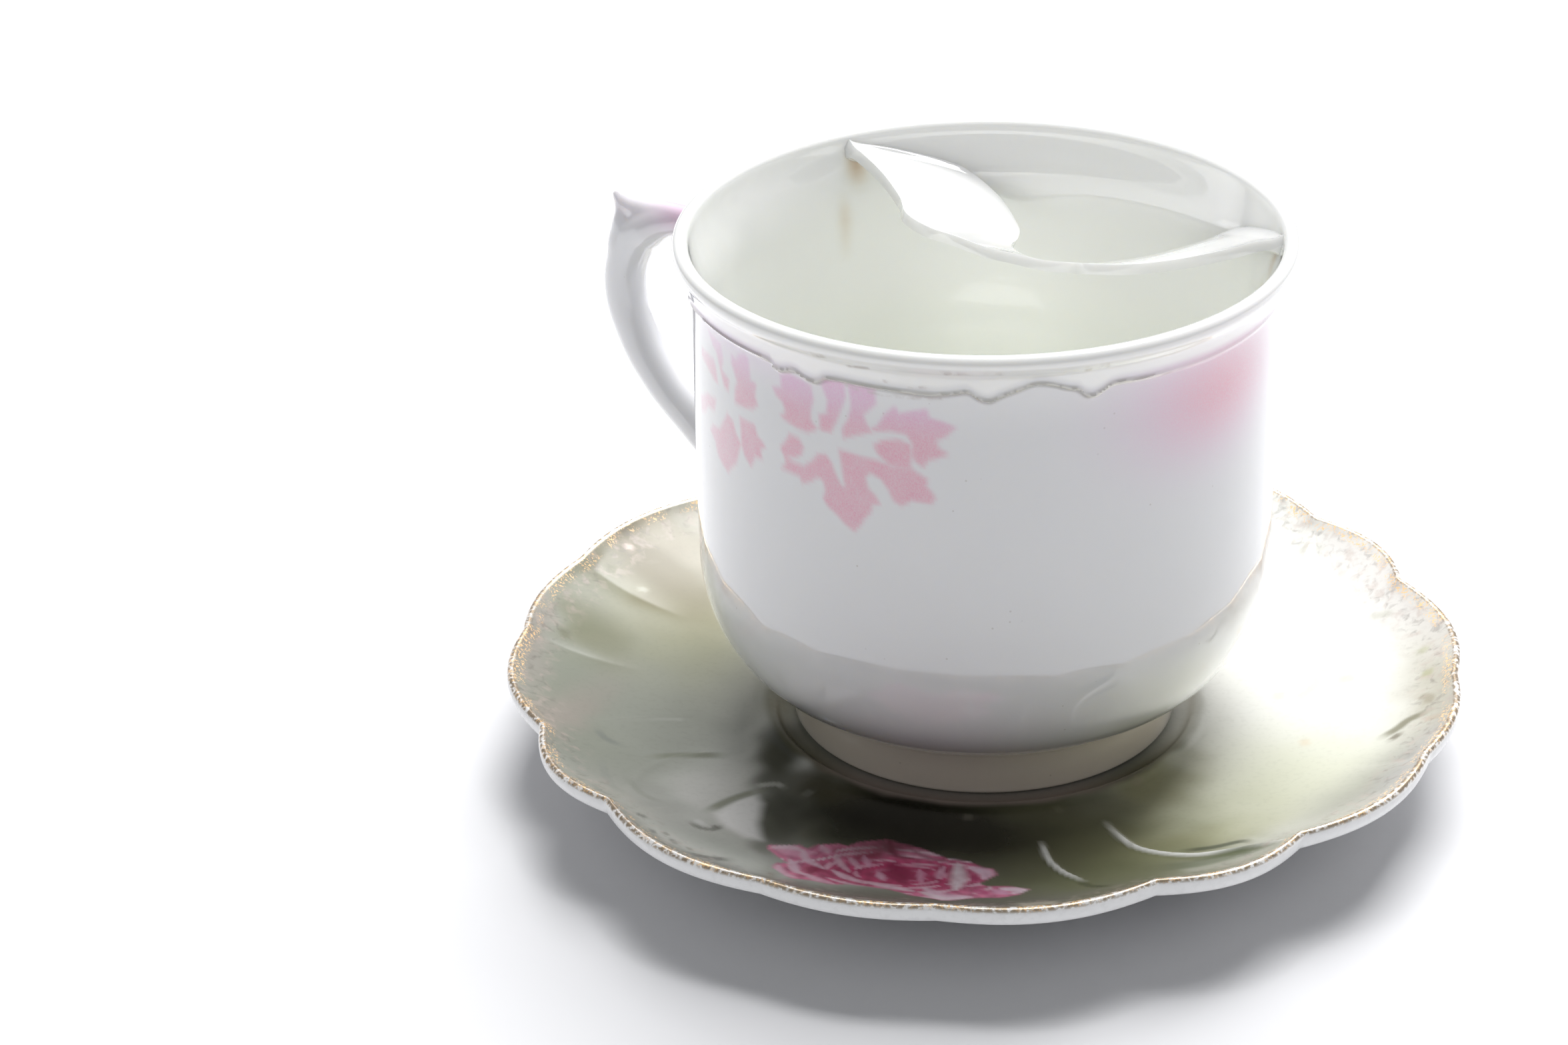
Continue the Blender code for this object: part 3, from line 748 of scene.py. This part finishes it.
cup = {
    "steps": 640,
    "bodyRadius": 43.3,
    "wall": 2.2,
    "wallFoot": 28.5,
    "wallTop": 65.5,
    "flareRadius": 45.5,
    "flareHeight": 76.1,
    "lipCentre": (44.75, 77.34),
    "lipRound": 1.24,
    "footRadius": 29.4,
    "footHeight": 7.1,
    "floor": 10.0,
    "bandRise": 0.25,
    "beadRise": 0.4,
    "glaze": (0.735, 0.74, 0.755),
    "leafPink": (0.74, 0.37, 0.48),
    "leafLilac": (0.70, 0.46, 0.68),
    "haze": (0.74, 0.55, 0.76),
    "blush": (0.84, 0.40, 0.50),
    # the band under the lip and the lip itself are painted lighter: painted light on the flare
    "band": (0.92, 0.92, 0.90),
    # olive-brown on the bead: partly its own tint, partly painted shade along the step
    "bead": (0.46, 0.43, 0.32),
    # greyish colour of the moulded strokes: partly a faint tint, partly painted shade of relief that
    # is not modelled
    "scroll": (0.52, 0.48, 0.46),
    # the inside is painted light, whiter than the outer glaze near the top, and fades as painted
    # shade to a greener tone towards the floor
    "insidePaintedLightTop": (0.95, 0.955, 0.935),
    "insidePaintedShadeLow": (0.78, 0.80, 0.74),
    "tea": (0.55, 0.35, 0.15),
    # lower edge of the moulded band under the lip: azimuth, height on the cup
    "bandEdge": (
        (-180, 71.6), (-170, 71.2), (-160, 72), (-135, 72.1), (-133, 71.6),
        (-131, 71), (-127, 71.8), (-125, 71.2), (-123, 70.9), (-121.5, 71.2),
        (-120, 72), (-117, 72.3), (-110, 72.2), (-100, 72), (-96, 72.3),
        (-93, 72.7), (-91, 71.6), (-89, 71.2), (-87, 72), (-84, 73),
        (-81, 73.9), (-78, 73.6), (-75, 72.7), (-73, 72.3), (-71.5, 71.2),
        (-70, 70.9), (-68.5, 71.4), (-66, 72.4), (-60, 72.2), (-45, 71.8),
    ),
    # short moulded strokes on the band, drawn only in colour: azimuth, height on the cup
    "scrolls": (
        ((-116, 71.6), (-112, 71.3), (-106, 71.2), (-98, 71.5)),
        ((-97, 76), (-92, 76.3), (-87, 76.2)),
        ((-72, 75.7), (-68, 75.9)),
        ((-121.5, 75.9), (-119, 76.1)),
        ((-114.5, 75.3), (-111, 75.6)),
        ((-108, 73.6), (-103, 73.2), (-99, 73.4)),
    ),
    # leaf stencils: azimuth, height on the cup
    "leaves": (
        ((-133.4, 67.7), (-131.2, 68.2), (-131, 70.3), (-129, 71), (-126, 70.6),
         (-123.8, 70.2), (-123.5, 68), (-124.2, 66.2), (-124.2, 64.6), (-122.8, 63.5),
         (-125, 62.6), (-128, 62.8), (-131.5, 63.5), (-130.2, 64.6), (-131, 66),
         (-132.6, 66.6)),
        ((-121.3, 70.7), (-120.4, 72), (-116.4, 72), (-116.4, 69.6), (-117.5, 67.5),
         (-118.5, 65.5), (-119.8, 63.6), (-122, 63.5), (-122.2, 65.8), (-120.6, 66.3),
         (-120.2, 68.5)),
        ((-115.6, 72), (-110.3, 71.8), (-110.3, 69.5), (-111.6, 68.4), (-112.8, 67.4),
         (-112.2, 66), (-111.2, 65), (-113.8, 64.2), (-117, 63.2), (-117.2, 64.5),
         (-116, 66), (-115.2, 68.3)),
        ((-112, 65), (-110, 66), (-108.5, 68), (-106.5, 69.5), (-105.8, 68.4),
         (-103.5, 69), (-100.6, 69.6), (-100, 68.2), (-97, 67.6), (-95.3, 67),
         (-97, 65.6), (-98.8, 64.8), (-98.6, 63.8), (-96.6, 62.8), (-98.5, 62.2),
         (-100.2, 61.8), (-101.3, 60.6), (-102.6, 61.2), (-103.4, 62.2), (-103.2, 63.9),
         (-104.5, 65.4), (-107.5, 65.6)),
        ((-110.8, 62.9), (-109, 63.9), (-106, 64.4), (-103.6, 63.8), (-103.4, 62.2),
         (-103.8, 60.3), (-106.2, 59.8), (-108.2, 60.6), (-110, 61.8)),
        ((-117.9, 61.1), (-114, 60.9), (-110, 60.6), (-107, 60), (-103.8, 60.3),
         (-102, 59.4), (-100.4, 58.6), (-101, 57.8), (-100, 57), (-99, 56),
         (-99.8, 55), (-103.5, 55.2), (-105.5, 54.2), (-107, 54.8), (-108, 56.5),
         (-109.5, 58), (-111.6, 58.6), (-112.6, 57.8), (-112, 56), (-110.5, 55),
         (-109.8, 54), (-111.3, 53.6), (-111.5, 52.5), (-112.8, 51.3), (-113.8, 50),
         (-115, 48.9), (-117, 49.8), (-118.8, 51), (-120.5, 51.8), (-121.5, 52.8),
         (-121, 54.2), (-121.5, 55.7), (-122.8, 56), (-124.5, 55), (-126.5, 54.3),
         (-127, 55.3), (-131.6, 55.4), (-130.5, 56.3), (-130.6, 57.4), (-128.5, 57),
         (-126, 57), (-124, 58.2), (-122.5, 59.6), (-120.8, 59.8), (-119.8, 59),
         (-118.8, 57.2), (-117.6, 55.6), (-116.8, 55.6), (-117.3, 58)),
        ((-131.8, 58.5), (-130, 60.3), (-129.3, 61.3), (-127, 61.1), (-126, 60),
         (-126.6, 58.8), (-128, 58), (-130.6, 57.4)),
        ((-146.3, 68), (-145.8, 69.5), (-144.5, 69.2), (-143, 70.3), (-141, 71),
         (-140, 70.5), (-140, 67), (-138.3, 67), (-138.8, 65), (-138, 63.8),
         (-139.5, 62.7), (-142, 62.2), (-145.5, 62), (-145.3, 64), (-144.5, 65.5),
         (-145.5, 67)),
        ((-155.5, 70.5), (-150, 70), (-149.6, 67.5), (-150.5, 65.8), (-147.5, 65),
         (-148, 63.2), (-149.5, 63.3), (-151, 65.5), (-152.5, 68), (-154, 68.5)),
        ((-161, 66), (-154, 66.3), (-153, 64.8), (-152.5, 63), (-154, 63),
         (-158, 64), (-161.5, 64.5)),
        ((-143.8, 60.2), (-139, 60.3), (-138.3, 58.8), (-136, 57.8), (-137.5, 56.8),
         (-137, 55.5), (-139, 55.3), (-140.5, 53.3), (-142.5, 54.4), (-143.5, 56),
         (-143.5, 58)),
        ((-148.5, 59.3), (-146.5, 58.8), (-145.3, 57), (-143.8, 56), (-144.8, 54),
         (-145.5, 52.5), (-147.5, 51), (-149, 49.8), (-151.5, 50.5), (-153.5, 51.3),
         (-154.5, 53), (-157, 54), (-155.5, 55.3), (-152, 55.8), (-150.3, 57.5)),
        ((-163, 57.5), (-158, 59.5), (-153.5, 60), (-154.5, 58), (-158, 57.5),
         (-160, 56), (-163, 55)),
    ),
    # stains on the inside wall: azimuth, height on the cup, width, height, strength
    "stains": (
        (118, 73.5, 1.6, 2.4, 1), (122, 66, 1.3, 2.6, 0.4), (2, 73, 1.6, 2.8, 1),
        (6, 67, 1, 1.2, 0.5), (128, 60, 1.4, 1, 0.3), (-12, 61, 0.9, 0.7, 0.5),
        (100, 48, 1.2, 0.8, 0.3), (60, 40, 1, 0.8, 0.3),
    ),
}


def cupOutside(offset=0.0, fine=True):
    body, foot = cup["bodyRadius"] + offset, cup["footRadius"] + 0.4 + offset
    top, low = cup["wallTop"], cup["wallFoot"]
    section = sweep((cup["flareRadius"] + offset, cup["flareHeight"]), (44.2 + offset, 74.9),
                    (body, 71.0), (body, top), 36 if fine else 8)
    if fine:     # rows close together where the leaves are painted
        section += line((body, top), (body, 48.0), 29) + line((body, 48.0), (body, low), 8)
    else:
        section += [(body, low)]
    return section + sweep((body, low), (body, 19.0), (39.0 + offset, 10.6 - offset),
                           (foot, cup["footHeight"]), 22 if fine else 12)


def cupInside(offset=0.0):
    wall = cup["bodyRadius"] - cup["wall"] + offset
    top, low, floor = cup["wallTop"], cup["wallFoot"], cup["floor"] - offset
    section = [(0.0, floor)] + line((0.0, floor), (22.0, floor + 0.4), 4)
    section += sweep((22.0, floor + 0.4), (35.5 + offset, floor + 1.4), (wall, 19.0), (wall, low), 12)
    section += line((wall, low), (wall, top), 5)
    return section + sweep((wall, top), (wall, 70.5), (42.8 + offset, 73.5),
                           (43.45 + offset, 76.9), 8)


def wallRadius(section, height):
    # radius of a wall at a height, from the upright part of its section
    upright = sorted((z, r) for r, z in section if r > 20.0)
    return np.interp(height, [z for z, r in upright], [r for z, r in upright])


def makeCup():
    lip = corner(cup["lipCentre"], cup["lipRound"], 165.0, -28.0, 11)
    under = [(29.0, 7.0), (27.4, 6.95), (24.4, 7.0), (12.0, 6.9), (0.0, 6.9)]
    section = cupInside() + lip + cupOutside() + under
    piece = throw("cup_porcelain", section, cup["steps"], cupSeat)
    spots = points(piece)
    radius = np.hypot(spots[:, 0], spots[:, 1])
    degrees = np.degrees(np.arctan2(spots[:, 1], spots[:, 0]))
    height = spots[:, 2] - cupSeat
    along, reach = alongSection(section, radius, height)
    outside = (along > reach[len(cupInside())]) * 1.0

    # the moulded band: a low step with a bead along its edge, weaker round the back
    edge = rounded(cup["bandEdge"], 4)
    over = height - np.interp(degrees, [a for a, z in edge], [z for a, z in edge])
    fade = np.maximum(ease(degrees, -178.0, -160.0) * ease(-degrees, 45.0, 66.0), 0.35)
    step = ease(over, -0.25, 0.3) * ease(77.0 - height, 0.0, 3.0)
    bead = bell(over - 0.15, 0.34)
    lift = outside * fade * (cup["bandRise"] * step + cup["beadRise"] * bead)
    stretch = 1.0 + lift / radius.clip(1.0)
    spots[:, 0] *= stretch
    spots[:, 1] *= stretch
    reshape(piece, spots)

    paint(piece, "outside", outside)
    paint(piece, "bead", bead * outside * fade)
    # painted light: lighter colour over the band and the lip
    paint(piece, "bandGlow", ease(over, 0.6, 2.0) * outside)
    paintWall(piece, degrees, height, outside)
    smoothShade(piece)
    finishPiece(piece, cupGlaze(), "cup", "cup_bowl")


def paintWall(piece, degrees, height, outside):
    arc = math.radians(1.0) * cup["bodyRadius"]     # length of a degree round the wall
    leaf = np.full(len(height), -9.0)
    near = (outside > 0) & (height > 44.0) & (degrees < -90.0)
    for part in cup["leaves"]:
        corners = [(a * arc, z) for a, z in part]
        leaf[near] = np.maximum(leaf[near],
                                outlineReach(degrees[near] * arc, height[near], corners))
    paint(piece, "leaf", ease(leaf, -0.55, 0.45))
    blush = np.exp(-(((degrees + 38.0) / 16.0) ** 2 + ((height - 66.0) / 7.0) ** 2))
    paint(piece, "blush", blush * outside)
    haze = np.exp(-(((degrees + 40.0) / 25.0) ** 2 + ((height - 67.0) / 12.0) ** 2) ** 1.4)
    haze = np.maximum(haze, 0.8 * ease(-degrees, 108.0, 150.0) * ease(height, 66.0, 73.0)
                      * ease(-height, -76.5, -75.0))
    paint(piece, "haze", haze * outside)
    scroll, stain = np.zeros(len(height)), np.zeros(len(height))
    for path in cup["scrolls"]:
        off, _ = strokeReach(degrees * arc, height, [(a * arc, z) for a, z in rounded(path)])
        scroll = np.maximum(scroll, ease(0.42 - off, 0.0, 0.35) * outside)
    paint(piece, "scroll", scroll)
    for azimuth, high, wide, tall, strength in cup["stains"]:
        away = (degrees - azimuth + 180.0) % 360.0 - 180.0
        spot = np.exp(-((away * arc / wide) ** 2 + ((height - high) / tall) ** 2))
        stain = np.maximum(stain, strength * spot)
    paint(piece, "stain", stain * (1.0 - outside))


def porcelain(name, white):
    # white glaze with a faint waviness and a few specks
    material, shader, place = startMaterial(name)
    cloud = place.noise(0.05, 3.0)
    color = cloud.mix(white, tuple(c * 0.97 for c in white))
    speck = place.cells(0.45).ramp(0.09, 0.05) * place.noise(0.2).ramp(0.55, 0.62)
    color = (speck * 0.35).mix(color, (0.35, 0.31, 0.27))
    feed(shader, Base_Color=color, Roughness=0.05 + cloud * 0.05, IOR=1.6,
         Normal=place.bump(place.noise(0.14, 3.0), 0.03 * mm),
         Coat_Weight=1.0, Coat_IOR=1.65, Coat_Roughness=0.015, Subsurface_Weight=0.35,
         Subsurface_Radius=(1.0, 0.95, 0.85), Subsurface_Scale=2.5 * mm)
    return material, shader, place, color


def cupGlaze():
    material, shader, place, color = porcelain("cup_glaze_paint", cup["glaze"])
    grit = place.noise(5.0, 2.0).ramp(0.3, 0.7)
    soft = place.noise(0.25, 2.0)
    leaf = place.painted("leaf") * (0.62 + grit * 0.3) * (0.75 + soft * 0.5)
    lilac = place.axis("Z").ramp(71.0, 78.0) * 0.75
    color = leaf.clamp().mix(color, lilac.mix(cup["leafPink"], cup["leafLilac"]))
    color = (place.painted("haze") * (0.45 + grit * 0.2)).mix(color, cup["haze"])
    color = (place.painted("blush") * (0.6 + grit * 0.3)).clamp().mix(color, cup["blush"])
    # painted light over the band under the lip and the lip
    color = (place.painted("bandGlow") * 0.75).mix(color, cup["band"])
    # bead colour: partly its tint, partly painted shade along the step
    color = (place.painted("bead") * 0.55).mix(color, cup["bead"])
    # the moulded strokes in patches: partly a faint tint, partly painted shade of relief that is not
    # modelled
    worn = place.noise(0.5, 3.0).ramp(0.4, 0.6)
    color = (place.painted("scroll") * worn * 0.6).clamp().mix(color, cup["scroll"])
    stain = (place.painted("stain") * (0.35 + soft * 0.6)).clamp()
    # painted light and shade: the inside is whiter near the top and darker and greener towards the
    # floor
    depth = place.axis("Z").ramp(72.0, 25.0)
    inside = stain.mix(depth.mix(cup["insidePaintedLightTop"], cup["insidePaintedShadeLow"]), cup["tea"])
    feed(shader, Base_Color=place.painted("outside").mix(inside, color))
    return material


footRing = {
    "steps": 256,
    "width": 3.6,
    "round": 0.6,
    "glaze": (0.86, 0.78, 0.68),
    "bare": (0.66, 0.62, 0.55),
}


def makeFootRing():
    outer, rim = cup["footRadius"], footRing["round"]
    inner = outer - footRing["width"]
    section = [(inner + 0.2, 7.0)] + line((inner + 0.2, 7.0), (inner, 0.7), 5)
    section += corner((inner + 0.55, 0.6), 0.55, 180.0, 270.0, 4)
    section += corner((outer - rim, rim), rim, 270.0, 360.0, 5)
    section += line((outer, rim), (outer, 6.2), 7)
    section += sweep((outer, 6.2), (outer, 6.7), (outer + 0.1, 7.0), (outer + 0.5, 7.3), 4)
    section += [(inner + 0.2, 7.3), (inner + 0.2, 7.0)]
    piece = throw("foot_porcelain", section, footRing["steps"], cupSeat)
    smoothShade(piece)
    material, shader, place, color = porcelain("foot_glaze_paint", footRing["glaze"])
    bare = place.axis("Z").ramp(cupSeat + 0.5, cupSeat + 0.15)
    feed(shader, Base_Color=bare.mix(color, footRing["bare"]), Roughness=0.1 + bare * 0.5)
    finishPiece(piece, material, "cup", "foot_ring")


handle = {
    "azimuth": math.radians(150.0),
    "voxel": 0.3,
    "sink": 0.7,     # how far the ends run into the wall
    "glaze": (0.86, 0.86, 0.88),
    "tint": (0.80, 0.52, 0.72),
    # the loop, then two short strands that fill the corner and draw the point up:
    # distance from the axis, height, half thickness
    "bar": ((41.5, 68.1, 3.6), (46.5, 68.7, 2.4), (53.5, 68.9, 2.1), (60.0, 66.6, 3.5),
            (63.2, 62.6, 3.4), (64.9, 56.5, 3.45), (63.0, 48.6, 3.4), (58.6, 41.6, 3.4),
            (52.6, 35.9, 3.5), (46.0, 30.6, 3.9), (41.0, 26.5, 4.8)),
    "spur": ((64.6, 58.0, 3.2), (64.4, 63.0, 3.1), (64.1, 66.8, 2.5), (64.8, 69.4, 1.5),
             (66.3, 71.2, 0.7)),
    "crest": ((48.0, 69.3, 1.9), (56.0, 69.2, 2.1), (61.5, 69.0, 2.3), (64.6, 69.9, 1.5),
              (66.3, 71.2, 0.7)),
}


def drawBar(path):
    bpy.ops.object.select_all(action="DESELECT")
    bpy.ops.curve.primitive_bezier_curve_add()
    bar = bpy.context.object
    bar.data.dimensions = "3D"
    bar.data.bevel_depth = mm
    bar.data.bevel_resolution = 8
    bar.data.resolution_u = 10
    bar.data.use_fill_caps = True
    knots = bar.data.splines[0].bezier_points
    knots.add(len(path) - 2)
    for knot, (far, high, half) in zip(knots, path):
        knot.co = Vector((far * math.cos(handle["azimuth"]), far * math.sin(handle["azimuth"]),
                          high + cupSeat)) * mm
        knot.radius = half
        knot.handle_left_type = "AUTO"
        knot.handle_right_type = "AUTO"
    bpy.ops.object.convert(target="MESH")
    return bpy.context.object


def makeHandle():
    strands = [drawBar(handle[name]) for name in ("bar", "spur", "crest")]
    bpy.ops.object.select_all(action="DESELECT")
    for strand in strands:
        strand.select_set(True)
    bar = strands[0]
    bpy.context.view_layer.objects.active = bar
    bpy.ops.object.join()
    bar.name = "handle_porcelain"
    useModifier(bar, "REMESH", mode="VOXEL", voxel_size=handle["voxel"] * mm)
    useModifier(bar, "SMOOTH", factor=0.6, iterations=12)
    edge, sink = cup["flareRadius"] - handle["sink"], handle["sink"]
    core = [(0.0, coreTop), (edge, coreTop), (edge, cup["flareHeight"])]
    cutter = throw("wall_core", core + cupOutside(-sink, False) + [(0.0, 6.0)], 180, cupSeat)
    useModifier(bar, "BOOLEAN", operation="DIFFERENCE", solver="EXACT", object=cutter)
    bpy.data.objects.remove(cutter)
    smoothShade(bar, 60.0)
    material, shader, place, color = porcelain("handle_glaze_paint", handle["glaze"])
    tint = place.axis("Z").ramp(cupSeat + 65.0, cupSeat + 70.5) \
        * (place.axis("X").ramp(-54.0, -45.0) * 0.75 + 0.15)
    feed(shader, Base_Color=(tint * 0.8).mix(color, handle["tint"]))
    finishPiece(bar, material, "cup", "handle")


guard = {
    "azimuth": math.radians(59.5),
    "thickness": 1.6,
    "rounding": 0.62,
    "fillet": 2.2,
    "filletRise": 0.8,
    "sink": 0.7,     # how far its ends run into the wall
    "columns": 160,
    "rows": 30,
    "glaze": (0.89, 0.89, 0.88),
    # along the chord, across it and height: near edge, then the edge at the drinker's side
    "keys": (
        ((0.0, 9.0, 71.4), (0.0, 16.2, 67.8)), ((5.2, 8.6, 71.6), (5.6, 17.6, 68.1)),
        ((9.8, 8.0, 72.5), (8.8, 25.0, 66.3)), ((13.6, 6.7, 73.6), (12.6, 31.4, 65.4)),
        ((19.2, 9.2, 73.8), (18.4, 34.6, 68.3)), ((24.0, 15.0, 73.5), (24.5, 34.0, 71.1)),
        ((29.6, 19.2, 74.7), (32.0, 30.5, 73.9)), ((34.2, 20.7, 76.5), (36.5, 25.8, 75.5)),
        ((38.2, 22.4, 77.0), (38.4, 24.0, 75.6)),
    ),
}


def keyPoint(keys, position):
    # a smooth line through the keys; it is even about the middle of the guard
    index = min(int(position), len(keys) - 2)
    t = position - index
    before = keys[index - 1] if index else keys[1] * np.array((-1.0, 1.0, 1.0))
    after = keys[index + 2] if index + 2 < len(keys) else keys[index + 1]
    a, b = keys[index], keys[index + 1]
    return 0.5 * (2 * a + (b - before) * t + (2 * before - 5 * a + 4 * b - after) * t * t
                  + (3 * a - before - 3 * b + after) * t ** 3)


def makeGuard():
    bpy.ops.object.select_all(action="DESELECT")
    bpy.ops.mesh.primitive_grid_add(x_subdivisions=guard["columns"],
                                    y_subdivisions=guard["rows"], size=2.0 * mm)
    piece = bpy.context.object
    piece.name = "guard_porcelain"
    near = [np.array(key[0]) for key in guard["keys"]]
    far = [np.array(key[1]) for key in guard["keys"]]
    spots = points(piece)
    a = guard["azimuth"]
    across, chord = np.array((math.cos(a), math.sin(a))), np.array((math.sin(a), -math.cos(a)))
    for i, (column, row, _) in enumerate(spots.copy()):
        position = min(abs(column), 1.0) * (len(near) - 1)
        p, q = keyPoint(near, position), keyPoint(far, position)
        t, n, z = p + (q - p) * (row + 1.0) / 2.0
        flat = chord * (t if column > 0 else -t) + across * n
        spots[i] = (flat[0], flat[1], z + cupSeat)
    reshape(piece, spots)
    useModifier(piece, "SOLIDIFY", thickness=guard["thickness"] * mm, offset=-1.0)
    useModifier(piece, "BEVEL", width=guard["rounding"] * mm, segments=4, limit_method="ANGLE",
                angle_limit=math.radians(50.0))
    wall = cupInside(guard["sink"])
    cavity = throw("wall_core", [(0.0, coreTop), (43.9, coreTop)] + wall[::-1], 180, cupSeat)
    useModifier(piece, "BOOLEAN", operation="INTERSECT", solver="EXACT", object=cavity)
    bpy.data.objects.remove(cavity)
    spots = points(piece)
    gap = wallRadius(cupInside(), spots[:, 2] - cupSeat) - np.hypot(spots[:, 0], spots[:, 1])
    normals = np.empty(len(spots) * 3)
    piece.data.vertices.foreach_get("normal", normals)
    # the slip at the joint: both faces flare where they near the wall
    close = 1.0 - np.clip(gap / guard["fillet"], 0.0, 1.0)
    spots[:, 2] += np.sign(normals.reshape(-1, 3)[:, 2]) * guard["filletRise"] * close ** 2
    reshape(piece, spots)
    smoothShade(piece, 60.0)
    material = porcelain("guard_glaze_paint", guard["glaze"])[0]
    finishPiece(piece, material, "cup", "moustache_guard")


setStudio()
makeSaucer()
makeCup()
makeFootRing()
makeHandle()
makeGuard()
